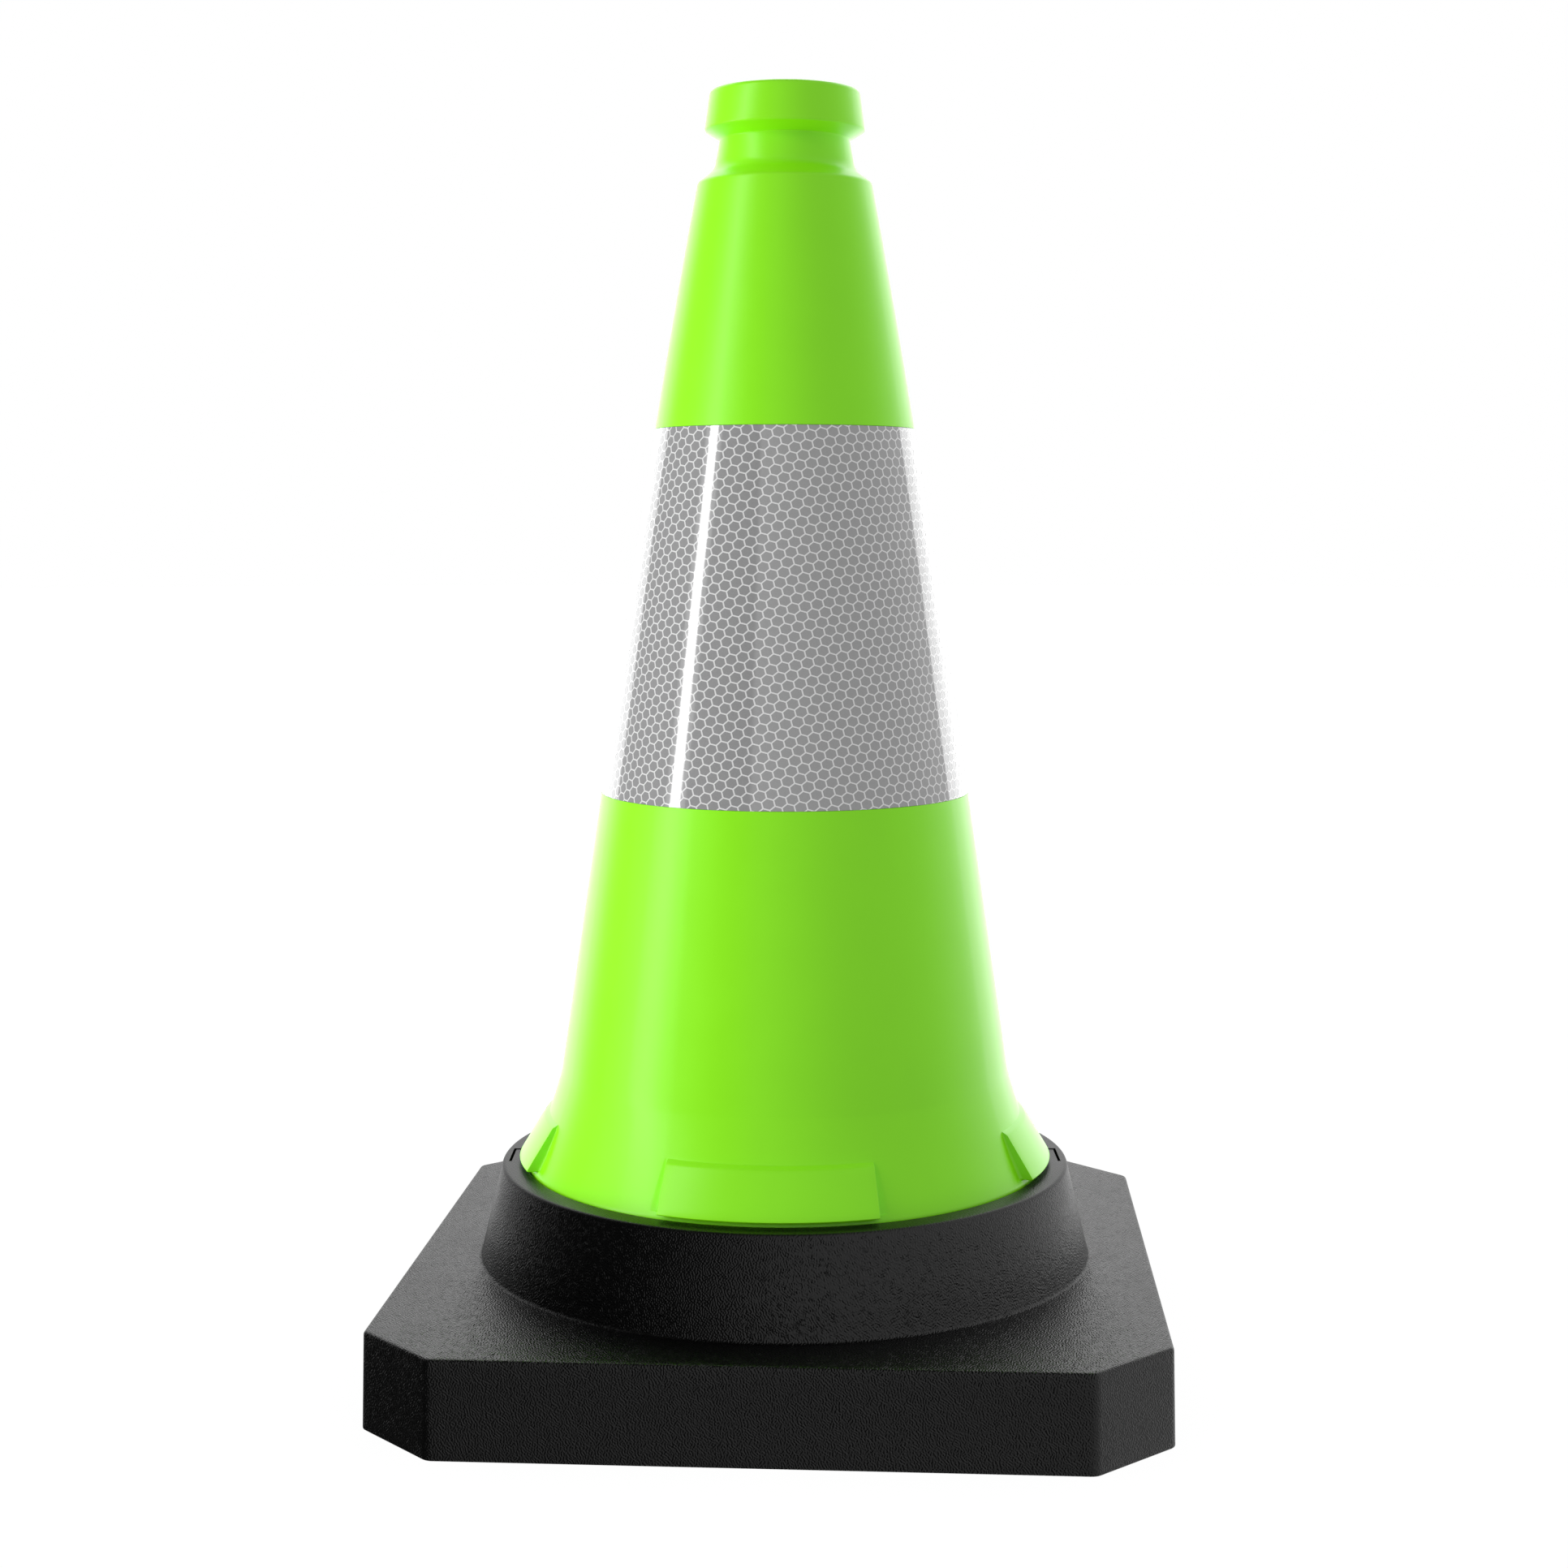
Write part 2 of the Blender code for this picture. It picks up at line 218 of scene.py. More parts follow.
def add_piece(name, mesh, body, node, *looks):
    """Put a mesh in the scene as a piece that stands for a CAD node and rides on a CAD body."""
    piece = bpy.data.objects.new(name, mesh)
    bpy.context.scene.collection.objects.link(piece)
    for look in looks:
        mesh.materials.append(look)
    mesh.shade_smooth()
    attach(piece, body)
    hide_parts(node)
    return piece


# ---------------------------------------------------------------- cone moulding
def wall_radius(z):
    """Outer radius of the plain cone wall."""
    radius = TAPER_RADIUS - TAPER_SLOPE * (z - BOW_START)
    if z > BOW_START:
        radius -= (z - BOW_START) ** 2 / (2 * BOW_RADIUS)
    return radius


def flare_centre():
    """Centre of the flare's arc, which runs from the wall at FLARE_TOP to the skirt at the rim."""
    start = Vector((wall_radius(FLARE_TOP), FLARE_TOP))
    end = Vector((SKIRT_RADIUS, COLLAR_TOP))
    chord = end - start
    reach = math.sqrt(FLARE_RADIUS**2 - (chord.length / 2) ** 2)
    return (start + end) / 2 + Vector((-chord.y, chord.x)).normalized() * reach


def outer_radius(z):
    """Outer radius of the wall or, below FLARE_TOP, of the flare."""
    if z >= FLARE_TOP:
        return wall_radius(z)
    centre = flare_centre()
    return centre.x - math.sqrt(FLARE_RADIUS**2 - (z - centre.y) ** 2)


def surface_path(top, bottom, spacing, offset=0.0):
    """Points down the outer surface, at even heights, moved sideways by offset."""
    count = math.ceil((top - bottom) / spacing)
    heights = [top + (bottom - top) * step / count for step in range(count + 1)]
    return [Vector((outer_radius(z) + offset, z)) for z in heights]


def upper_outline():
    """Outside of the moulding from the top ring's edge down to just above the lugs."""
    crease = 0.5 * MM             # half of the height of the short facet where the flare starts
    edge = 0.08 * MM              # the height of the recess's lips, and of the gaps beside the film
    below_shoulder = SHOULDER_Z - ROW_SPACING
    corners = [
        (TOP_BORE_RADIUS, HEIGHT - 1.2 * MM, 0),
        (TOP_BORE_RADIUS, HEIGHT, 0.9 * MM),
        (RING_TOP_RADIUS, HEIGHT, 1.9 * MM),
        (RING_LIP_RADIUS, RING_LIP_Z, 0.9 * MM),
        (NECK_TOP_RADIUS, NECK_TOP_Z, 0.8 * MM),
        (NECK_FOOT_RADIUS, NECK_FOOT_Z, 7 * MM),
        (wall_radius(SHOULDER_Z), SHOULDER_Z, 2.4 * MM),
        (wall_radius(below_shoulder), below_shoulder, 0),
    ]
    recess_top = BAND_TOP + edge
    recess_bottom = BAND_BOTTOM - edge
    path = filled_in(rounded(corners, steps=7), longest=6 * MM)[:-1]
    path += surface_path(below_shoulder, recess_top + edge, ROW_SPACING)
    path += surface_path(recess_top, recess_bottom, ROW_SPACING, offset=-FILM_RECESS)
    path += surface_path(recess_bottom - edge, FLARE_TOP + crease, ROW_SPACING)
    path += surface_path(FLARE_TOP - crease, LUG_TOP + 2 * MM, spacing=3 * MM)
    return path


def lug_outline():
    """Outside of the moulding over the middle of a lug, from above it to the skirt."""
    above = LUG_TOP + 1.4 * MM
    below = LUG_BOTTOM - 1.2 * MM
    corners = [
        (outer_radius(above), above, 0),
        (outer_radius(LUG_TOP), LUG_TOP, 0.4 * MM),
        (LUG_LEDGE_RADIUS, LUG_LEDGE_Z, 3 * MM),
        (LUG_RADIUS, LUG_BOTTOM, 0.4 * MM),
        (outer_radius(LUG_BOTTOM), LUG_BOTTOM, 0.4 * MM),
        (outer_radius(below), below, 0),
    ]
    return filled_in(rounded(corners, steps=4), longest=2.5 * MM)


def flare_beside(outline):
    """Points on the plain flare, one for each point of the lug's outline.

    They're nearly level with the outline's points, and a little further apart where those are level.
    """
    reached = [0.0]
    for start, end in zip(outline, outline[1:]):
        reached.append(reached[-1] + (end - start).length)
    top = outline[0].y
    bottom = outline[-1].y
    points = []
    for point, length in zip(outline, reached):
        even = top + (bottom - top) * length / reached[-1]
        z = point.y + (even - point.y) * FLARE_EVENNESS
        points.append(Vector((outer_radius(z), z)))
    return points


def inner_outline():
    """Inside of the moulding from the skirt's foot up to the top ring."""
    foot_edge = 0.6 * MM
    foot_outer = SKIRT_RADIUS - SKIRT_DRAFT
    corners = [
        (SKIRT_RADIUS, COLLAR_TOP, 0),
        (foot_outer, SKIRT_FOOT, foot_edge),
        (foot_outer - WALL, SKIRT_FOOT, foot_edge),
        (outer_radius(COLLAR_TOP) - WALL, COLLAR_TOP, 0),
    ]
    path = filled_in(rounded(corners, steps=4), ROW_SPACING)
    inside = surface_path(SHOULDER_Z - 2 * WALL, COLLAR_TOP + 2 * MM, ROW_SPACING, offset=-WALL)
    inside.reverse()
    neck = [
        (*inside[-1], 0),
        (NECK_FOOT_RADIUS - WALL, NECK_FOOT_Z, 5 * MM),
        (NECK_TOP_RADIUS - WALL, NECK_TOP_Z, 2 * MM),
        (TOP_BORE_RADIUS, HEIGHT - 2 * MM, 0),
    ]
    return path + inside[:-1] + filled_in(rounded(neck), longest=5 * MM)


def side_plane_angle(radius):
    """How far round from a lug's middle its flat side face is, at a radius."""
    corner_depth = math.sqrt(LUG_RADIUS**2 - LUG_HALF_WIDTH**2)
    offset = LUG_HALF_WIDTH - corner_depth * math.tan(LUG_SIDE_DRAFT)
    sine = offset * math.cos(LUG_SIDE_DRAFT) / max(radius, wall_radius(FLARE_TOP))
    return LUG_SIDE_DRAFT + math.asin(sine)


def lug_side_steps(steps=5):
    """(sideways, outwards) steps over one side of a lug, as shares of its height off the flare."""
    made = []
    for step in range(steps + 1):
        turn = math.pi / 2 * step / steps
        sideways = LUG_CORNER * (math.sin(turn) - 1)
        made.append((sideways, 1 - LUG_CORNER * (1 - math.cos(turn))))
    depth = LUG_FILLET - LUG_GROOVE
    for step in range(steps + 1):
        turn = math.pi / 2 * step / steps
        made.append((LUG_FILLET * (1 - math.cos(turn)), depth - LUG_FILLET * math.sin(turn)))
    for step in range(1, steps + 1):
        share = step / steps
        rise = share * share * (3 - 2 * share)
        made.append((LUG_FILLET + LUG_GROOVE_RETURN * share, -LUG_GROOVE * (1 - rise)))
    return made


def half_lug_columns(across=10, between=9):
    """The columns from a lug's middle to half way to the next lug.

    A column is (weight, of_side, sideways, of_gap). Its weight is how far out it is, from the flare
    to the lug, and the other three place it, as column_angle says.
    """
    sides = lug_side_steps()
    over_lug = [(1.0, step / across, sides[0][0], 0.0) for step in range(across)]
    over_side = [(weight, 1.0, sideways, 0.0) for sideways, weight in sides]
    shares = [step / between for step in range(1, between + 1)]
    over_gap = [(0.0, 1 - share, sides[-1][0], share) for share in shares]
    return over_lug + over_side + over_gap


def column_angle(of_side, sideways, of_gap, radius, spread):
    """A column's angle from the lug's middle at a radius, where the lug stands spread off the flare.

    It's a share of the angle of the lug's side, which is moved sideways by a share of spread, and
    a share of the angle of the middle of the gap between two lugs.
    """
    side = side_plane_angle(radius) + sideways * spread / radius
    return of_side * side + of_gap * (math.pi / LUG_COUNT)


def cone_rows():
    """All rows of the cone moulding, down its outside and up its inside."""
    upper = upper_outline()
    lug = lug_outline()
    inner = inner_outline()
    lug_path = upper + lug + inner
    plain_path = upper + flare_beside(lug) + inner
    half = half_lug_columns()
    rows = []
    for on_lug, plain in zip(lug_path, plain_path):
        spread = max(on_lug.x - plain.x, LUG_SPREAD_LEAST)
        quarter = []
        for weight, *place in half:
            point = plain.lerp(on_lug, weight)
            quarter.append((column_angle(*place, point.x, spread), point))
        mirrored = [(-angle, point) for angle, point in reversed(quarter[1:-1])]
        row = []
        for index in range(LUG_COUNT):
            middle = index * math.tau / LUG_COUNT
            for angle, point in mirrored + quarter:
                turn = middle + angle
                row.append((point.x * math.cos(turn), point.x * math.sin(turn), point.y))
        rows.append(row)
    return rows


def build_cone_moulding():
    """The green moulding: ring, neck, bowed wall, film recess, flare, lugs and skirt."""
    mesh = ring_mesh("cone_moulding", cone_rows())
    piece = add_piece("cone_moulding", mesh, "cone", "cone_body", green_plastic())
    mesh.set_sharp_from_angle(angle=SHARP)
    return piece


# ---------------------------------------------------------------- honeycomb film
def cone_half_angle():
    """Half of the angle at the point that the cone's straight taper runs up to."""
    return math.atan(TAPER_SLOPE)


def apex_distance():
    """Distance along the cone's surface from that point down to BOW_START."""
    return TAPER_RADIUS / math.sin(cone_half_angle())


def slant_at(z):
    """Distance along the surface from the same point down to a height."""
    return apex_distance() + (BOW_START - z) / math.cos(cone_half_angle())


def sleeve_half_turn():
    """Half of the angle that the sleeve's flat pattern takes up round the cone's point."""
    return math.pi * math.sin(cone_half_angle())


def cell_centres():
    """Centres of the regular cells that fall on the film's flat pattern once they're stretched."""
    reach = apex_distance()
    along = Vector((math.cos(CELL_TURN), math.sin(CELL_TURN))) * CELL_PITCH
    upwards = Matrix.Rotation(math.pi / 3, 2) @ along
    margin = 2 * CELL_PITCH
    half_turn = sleeve_half_turn()
    widest = slant_at(BAND_BOTTOM) * math.sin(half_turn) + margin
    span = math.ceil(2 * widest / CELL_PITCH)
    centres = []
    for across in range(-span, span + 1):
        for up in range(-span, span + 1):
            centre = along * across + upwards * up
            stretched = Vector((centre.x * CELL_STRETCH, centre.y)) + CELL_SHIFT
            slant = math.hypot(stretched.x, reach - stretched.y)
            turn = math.atan2(stretched.x, reach - stretched.y)
            if not slant_at(BAND_TOP) - margin < slant < slant_at(BAND_BOTTOM) + margin:
                continue
            if abs(turn) > half_turn + margin / slant:
                continue
            centres.append(centre)
    return centres


def honeycomb():
    """A flat sheet of sunk cells in the plane that the film is cut from.

    X runs round the cone and Y up it, from the front of the cone at BOW_START. Z is out of the
    film. Faces of the cells' floors get material 0, and the walls between them material 1.
    """
    sheet = bmesh.new()
    corner_reach = CELL_PITCH / math.sqrt(3)
    for centre in cell_centres():
        corners = []
        for corner in range(6):
            angle = CELL_TURN + math.pi / 3 * (corner + 0.5)
            x = centre.x + corner_reach * math.cos(angle)
            y = centre.y + corner_reach * math.sin(angle)
            corners.append(sheet.verts.new((x, y, 0)))
        sheet.faces.new(corners)
    bmesh.ops.remove_doubles(sheet, verts=sheet.verts, dist=CELL_PITCH / 100)
    cells = list(sheet.faces)
    walls = bmesh.ops.inset_individual(sheet, faces=cells, thickness=CELL_WALL / 2)["faces"]
    slopes = bmesh.ops.inset_individual(
        sheet, faces=cells, thickness=CELL_SLOPE, depth=-CELL_RELIEF
    )["faces"]
    for face in walls + slopes:
        face.material_index = 1
    for vert in sheet.verts:
        vert.co.x = vert.co.x * CELL_STRETCH + CELL_SHIFT.x
        vert.co.y += CELL_SHIFT.y
    return sheet


def cut_to_sleeve(sheet):
    """Cut the sheet to the sleeve's flat pattern, a piece of a ring, in (turn, slant) coordinates."""
    reach = apex_distance()
    for vert in sheet.verts:
        turn = math.atan2(vert.co.x, reach - vert.co.y)
        slant = math.hypot(vert.co.x, reach - vert.co.y)
        vert.co = Vector((turn, slant, vert.co.z))
    seam = sleeve_half_turn() - SEAM_GAP / 2 / reach
    cuts = (
        (Vector((0, slant_at(BAND_TOP), 0)), Vector((0, -1, 0))),
        (Vector((0, slant_at(BAND_BOTTOM), 0)), Vector((0, 1, 0))),
        (Vector((seam, 0, 0)), Vector((1, 0, 0))),
        (Vector((-seam, 0, 0)), Vector((-1, 0, 0))),
    )
    for point, outwards in cuts:
        geometry = list(sheet.verts) + list(sheet.edges) + list(sheet.faces)
        bmesh.ops.bisect_plane(
            sheet, geom=geometry, dist=ON_CUT, plane_co=point, plane_no=outwards, clear_outer=True
        )


def thicken(sheet):
    """Give the flat sheet its back and its edges."""
    for face in sheet.faces:
        if face.normal.z < 0:
            face.normal_flip()
    front = list(sheet.faces)
    made = bmesh.ops.solidify(sheet, geom=front, thickness=FILM_THICKNESS)
    fronts = set()
    for face in front:
        fronts.update(face.verts)
    for item in made["geom"]:
        if isinstance(item, bmesh.types.BMVert) and item not in fronts:
            item.co.z = -FILM_THICKNESS


def wrap(sheet):
    """Wrap the cut sheet round the cone. Returns each point's normal on the smooth cone."""
    half_angle = cone_half_angle()
    normals = []
    for vert in sheet.verts:
        turn, slant, relief = vert.co
        azimuth = turn / math.sin(half_angle)
        z = BOW_START - (slant - apex_distance()) * math.cos(half_angle)
        lean = TAPER_SLOPE + max(z - BOW_START, 0) / BOW_RADIUS
        outwards = Vector((math.sin(azimuth), -math.cos(azimuth), lean)).normalized()
        radius = wall_radius(z)
        surface = Vector((radius * math.sin(azimuth), -radius * math.cos(azimuth), z))
        vert.co = surface + outwards * relief
        normals.append(outwards if relief > -FILM_THICKNESS / 2 else -outwards)
    return normals


def settled_mesh(name, sheet):
    """The sheet as a mesh. Cutting leaves the faces in a chance order, so they're sorted here."""
    faces = []
    for face in sheet.faces:
        corners = [vert.index for vert in face.verts]
        first = corners.index(min(corners))
        faces.append((corners[first:] + corners[:first], face.material_index))
    faces.sort()
    mesh = bpy.data.meshes.new(name)
    mesh.from_pydata([vert.co for vert in sheet.verts], [], [corners for corners, _ in faces])
    mesh.polygons.foreach_set("material_index", [look for _, look in faces])
    return mesh


def build_honeycomb_film():
    """The reflective sleeve: a film of sunk honeycomb cells, wrapped round with a seam at the back."""
    sheet = honeycomb()
    cut_to_sleeve(sheet)
    thicken(sheet)
    sheet.verts.index_update()
    normals = wrap(sheet)
    bmesh.ops.recalc_face_normals(sheet, faces=sheet.faces)
    mesh = settled_mesh("honeycomb_film", sheet)
    sheet.free()
    piece = add_piece("honeycomb_film", mesh, "cone", "reflective_band", film_cell(), film_wall())
    mesh.normals_split_custom_set_from_vertices(normals)
    return piece


# ---------------------------------------------------------------- base moulding
def slab_outline(inset, corner_steps=5, spacing=6 * MM):
    """Points round the slab: a square with cut corners and rounded edges, moved in by inset.

    Every inset gives the same number of points, so that outlines can be joined into rows.
    """
    radius = max(CORNER_EDGE - inset, CORNER_EDGE_LEAST)
    depth = inset + radius
    eighth = math.tau / 8
    cut_distance = math.sqrt(2) * SLAB_HALF - CORNER_CUT / math.sqrt(2)
    arcs = []
    for side in range(8):
        facing = side * eighth
        onward = facing + eighth
        here = (SLAB_HALF if side % 2 == 0 else cut_distance) - depth
        after = (cut_distance if side % 2 == 0 else SLAB_HALF) - depth
        sideways = (after - here * math.cos(eighth)) / math.sin(eighth)
        corner = Matrix.Rotation(facing, 2) @ Vector((here, sideways))
        arc = []
        for step in range(corner_steps + 1):
            angle = facing + (onward - facing) * step / corner_steps
            arc.append(corner + Vector((math.cos(angle), math.sin(angle))) * radius)
        arcs.append(arc)
    counts = [math.ceil(CORNER_CUT / spacing), math.ceil(2 * (SLAB_HALF - CORNER_CUT) / spacing)]
    points = []
    for side, arc in enumerate(arcs):
        points += arc
        following = arcs[(side + 1) % 8][0]
        count = counts[side % 2]
        for step in range(1, count):
            points.append(arc[-1].lerp(following, step / count))
    return points


def base_rows():
    """All rows of the base: up the bore, over the rim, down the collar, across and round the slab."""
    angles = [math.atan2(point.y, point.x) for point in slab_outline(0)]

    def circle(radius, z):
        return [(radius * math.cos(angle), radius * math.sin(angle), z) for angle in angles]

    def outline(inset, z):
        return [(*point, z) for point in slab_outline(inset)]

    def between(inner, outer, count):
        made = []
        for step in range(1, count):
            share = step / count
            made.append([Vector(a).lerp(Vector(b), share) for a, b in zip(inner, outer)])
        return made

    bore_and_collar = rounded(
        [
            (BORE_RIM_RADIUS - 3 * MM, 0, 0),
            (STACK_BORE_RADIUS + STACK_BORE_DRAFT, 0, INNER_EDGE),
            (STACK_BORE_RADIUS, SEAT_Z - SEAT_THICKNESS, INNER_EDGE),
            (SEAT_BORE_RADIUS, SEAT_Z - SEAT_THICKNESS, INNER_EDGE),
            (SEAT_BORE_RADIUS, SEAT_Z, INNER_EDGE),
            (BORE_RADIUS, SEAT_Z, INNER_EDGE),
            (BORE_RADIUS, COLLAR_TOP, BORE_EDGE),
            (COLLAR_TOP_RADIUS, COLLAR_TOP, COLLAR_EDGE),
            (COLLAR_FOOT_RADIUS, SLAB_HEIGHT, COLLAR_FOOT_FILLET),
            (COLLAR_FOOT_RADIUS + 3 * MM, SLAB_HEIGHT, 0),
        ],
        steps=4,
    )
    rows = [circle(*point) for point in filled_in(bore_and_collar, longest=6 * MM)]

    side = rounded(
        [
            (SLAB_DRAFT + 4 * MM, SLAB_HEIGHT, 0),
            (SLAB_DRAFT, SLAB_HEIGHT, SLAB_EDGE),
            (0, 0, FOOT_EDGE),
            (FOOT_RIM, 0, INNER_EDGE),
            (FOOT_RIM, FOOT_RECESS, INNER_EDGE),
            (FOOT_RIM + 3 * MM, FOOT_RECESS, 0),
        ]
    )
    slab_rows = [outline(*point) for point in filled_in(side, longest=6 * MM)]
    rows += between(rows[-1], slab_rows[0], count=8) + slab_rows

    rim = rounded(
        [
            (BORE_RIM_RADIUS + 2 * MM, FOOT_RECESS, 0),
            (BORE_RIM_RADIUS, FOOT_RECESS, INNER_EDGE),
            (BORE_RIM_RADIUS, 0, INNER_EDGE),
            (BORE_RIM_RADIUS - 1.5 * MM, 0, 0),
        ]
    )
    rim_rows = [circle(*point) for point in rim]
    return rows + between(rows[-1], rim_rows[0], count=4) + rim_rows


def tongue_cutter(name, inner, outer, bottom):
    """A box over each latch tongue, from inner to outer radius and from bottom to above the rim."""
    above = 2 * MM
    size = Vector((outer - inner, TONGUE_WIDTH, COLLAR_TOP + above - bottom))
    centre = Vector((inner + outer, 0, COLLAR_TOP + above + bottom)) / 2
    body = bmesh.new()
    for index in range(TONGUE_COUNT):
        box = bmesh.ops.create_cube(body, size=1)["verts"]
        bmesh.ops.scale(body, verts=box, vec=size)
        bmesh.ops.translate(body, verts=box, vec=centre)
        turn = Matrix.Rotation(index * math.tau / TONGUE_COUNT + TONGUE_TURN, 3, "Z")
        bmesh.ops.rotate(body, verts=box, cent=(0, 0, 0), matrix=turn)
    return bpy.data.objects.new(name, mesh_from(name, body))


def cut_tongues(name, uncut):
    """Cut the latch tongues into the collar's rim: each is sunk a little, with a slit behind it.

    Returns the cut mesh.
    """
    work = bpy.data.objects.new(uncut.name, uncut)
    outer = TONGUE_OUTER_RADIUS
    sink = tongue_cutter("sink", BORE_RADIUS - 2 * MM, outer, COLLAR_TOP - TONGUE_SINK)
    slit = tongue_cutter("slit", outer - TONGUE_SLIT, outer, COLLAR_TOP - TONGUE_SLIT_DEPTH)
    for made in (work, sink, slit):
        bpy.context.scene.collection.objects.link(made)
    for cutter in (sink, slit):
        cut = work.modifiers.new(cutter.name, "BOOLEAN")
        cut.operation = "DIFFERENCE"
        cut.object = cutter
    body = bmesh.new()
    body.from_object(work, bpy.context.evaluated_depsgraph_get())
    for made in (work, sink, slit):
        bpy.data.objects.remove(made, do_unlink=True)
    bmesh.ops.remove_doubles(body, verts=body.verts, dist=SAME_PLACE)
    bmesh.ops.dissolve_degenerate(body, edges=body.edges, dist=SAME_PLACE)
    return mesh_from(name, body)


def build_base_moulding():
    """The black moulding: slab, collar, bore, seat ledge and latch tongues."""
    mesh = cut_tongues("base_moulding", ring_mesh("uncut_base", base_rows()))
    add_piece("base_moulding", mesh, "base", "base", black_plastic())
    mesh.set_sharp_from_angle(angle=SHARP)


# ---------------------------------------------------------------- materials
def node_adder(tree):
    """Empty a node tree. Returns a function that adds a node to it, with its inputs and settings."""
    tree.nodes.clear()

    def add(kind, inputs=None, **settings):
        node = tree.nodes.new(kind)
        for key, value in settings.items():
            setattr(node, key, value)
        for key, value in (inputs or {}).items():
            if isinstance(value, bpy.types.NodeSocket):
                tree.links.new(value, node.inputs[key])
            else:
                node.inputs[key].default_value = value
        return node

    return add


def new_material(name):
    """A material with an empty node tree. Returns it and the function that adds its nodes."""
    made = bpy.data.materials.new(name)
    made.use_nodes = True
    return made, node_adder(made.node_tree)


def fade(add, value, limits, low, high):
    """A number that goes from low to high as a value goes from one limit to the other."""
    made = add(
        "ShaderNodeMapRange",
        {
            "Value": value,
            "From Min": limits[0],
            "From Max": limits[1],
            "To Min": low,
            "To Max": high,
        },
    )
    return made.outputs["Result"]


def green_plastic():
    """Fluorescent green polyethylene: satin, with a faint moulded skin and slight mottling."""
    made, add = new_material("green_plastic")
    place = add("ShaderNodeTexCoord").outputs["Object"]
    mottle = add("ShaderNodeTexNoise", {"Vector": place, "Scale": 60.0, "Detail": 3.0})
    tint = add(
        "ShaderNodeMix",
        {
            "Factor": mottle.outputs["Fac"],
            "A": (0.292, 0.95, 0.004, 1),
            "B": (0.305, 0.99, 0.005, 1),
        },
        data_type="RGBA",
    )
    skin = add("ShaderNodeTexNoise", {"Vector": place, "Scale": 900.0, "Detail": 2.0})
    roughness = fade(add, mottle.outputs["Fac"], (0.0, 1.0), 0.31, 0.36)
    bump = add(
        "ShaderNodeBump",
        {"Height": skin.outputs["Fac"], "Strength": 0.05, "Distance": 0.2 * MM},
    )
    shader = add(
        "ShaderNodeBsdfPrincipled",
        {
            "Base Color": tint.outputs["Result"],
            "Roughness": roughness,
            "Normal": bump.outputs["Normal"],
            "IOR": 1.5,
        },
    )
    add("ShaderNodeOutputMaterial", {"Surface": shader.outputs["BSDF"]})
    return made


def film_material(name, dark, light):
    """Glossy clear-faced film over a grey or white back, with fine prism speckle."""
    made, add = new_material(name)
    place = add("ShaderNodeTexCoord").outputs["Object"]
    speckle = add("ShaderNodeTexNoise", {"Vector": place, "Scale": 1500.0, "Detail": 2.0})
    tint = add(
        "ShaderNodeMix",
        {"Factor": speckle.outputs["Fac"], "A": (*dark, 1), "B": (*light, 1)},
        data_type="RGBA",
    )
    shader = add(
        "ShaderNodeBsdfPrincipled",
        {
            "Base Color": tint.outputs["Result"],
            "Roughness": 0.5,
            "Specular IOR Level": 0.05,
            "Coat Weight": 1.0,
            "Coat Roughness": 0.06,
            "Coat IOR": 2.0,
        },
    )
    add("ShaderNodeOutputMaterial", {"Surface": shader.outputs["BSDF"]})
    return made


def film_cell():
    """The film's grey cells."""
    return film_material("film_cell", (0.33, 0.33, 0.333), (0.39, 0.39, 0.393))


def film_wall():
    """The light walls between the cells, where the film's face is bonded to its back."""
    return film_material("film_wall", (0.86, 0.86, 0.86), (0.92, 0.92, 0.92))


def grain_direction():
    """The direction that makes the lines of the leather grain run mostly up and down.

    The Gabor texture turns each of its waves from a given direction, by angles from 0 up to the
    spread. Half the spread is taken off here, so the waves are centred on the X axis.
    """
    inclination = (math.pi - GRAIN_SPREAD) / 2
    azimuth = -GRAIN_SPREAD / 2
    across = math.sin(inclination)
    return (across * math.cos(azimuth), across * math.sin(azimuth), math.cos(inclination))


def black_plastic():
    """Black recycled plastic with a fine leather grain, shallower on top of the collar's rim."""
    made, add = new_material("black_plastic")
    place = add("ShaderNodeTexCoord").outputs["Object"]
    folds = add(
        "ShaderNodeTexGabor",
        {
            "Vector": place,
            "Scale": GRAIN_SCALE,
            "Frequency": 2.0,
            "Anisotropy": 1 - GRAIN_SPREAD / math.pi,
            "Orientation 3D": grain_direction(),
        },
        gabor_type="3D",
    )
    height = add("ShaderNodeSeparateXYZ", {0: place}).outputs["Z"]
    rim = (COLLAR_TOP - 1.8 * MM, COLLAR_TOP - 0.5 * MM)
    bump = add(
        "ShaderNodeBump",
        {
            "Height": folds.outputs["Value"],
            "Strength": fade(add, height, rim, 1.0, 0.4),
            "Distance": 0.5 * MM,
        },
    )
    mottle = add("ShaderNodeTexNoise", {"Vector": place, "Scale": 45.0, "Detail": 4.0})
    patchy = fade(add, mottle.outputs["Fac"], (0.0, 1.0), -0.04, 0.04)
    roughness = add(
        "ShaderNodeMath", {0: patchy, 1: fade(add, height, rim, 0.32, 0.4)}, operation="ADD"
    )
    tint = add(
        "ShaderNodeMix",
        {
            "Factor": mottle.outputs["Fac"],
            "A": (0.0012, 0.0012, 0.0013, 1),
            "B": (0.0020, 0.0020, 0.0021, 1),
        },
        data_type="RGBA",
    )
    shader = add(
        "ShaderNodeBsdfPrincipled",
        {
            "Base Color": tint.outputs["Result"],
            "Roughness": roughness.outputs["Value"],
            "Specular IOR Level": 0.5,
            "Normal": bump.outputs["Normal"],
        },
    )
    add("ShaderNodeOutputMaterial", {"Surface": shader.outputs["BSDF"]})
    return made


# ---------------------------------------------------------------- studio
FLOOR_RADIUS = 12.0               # metres
FLOOR_DROP = 0.1 * MM             # the floor is this much below the base's foot


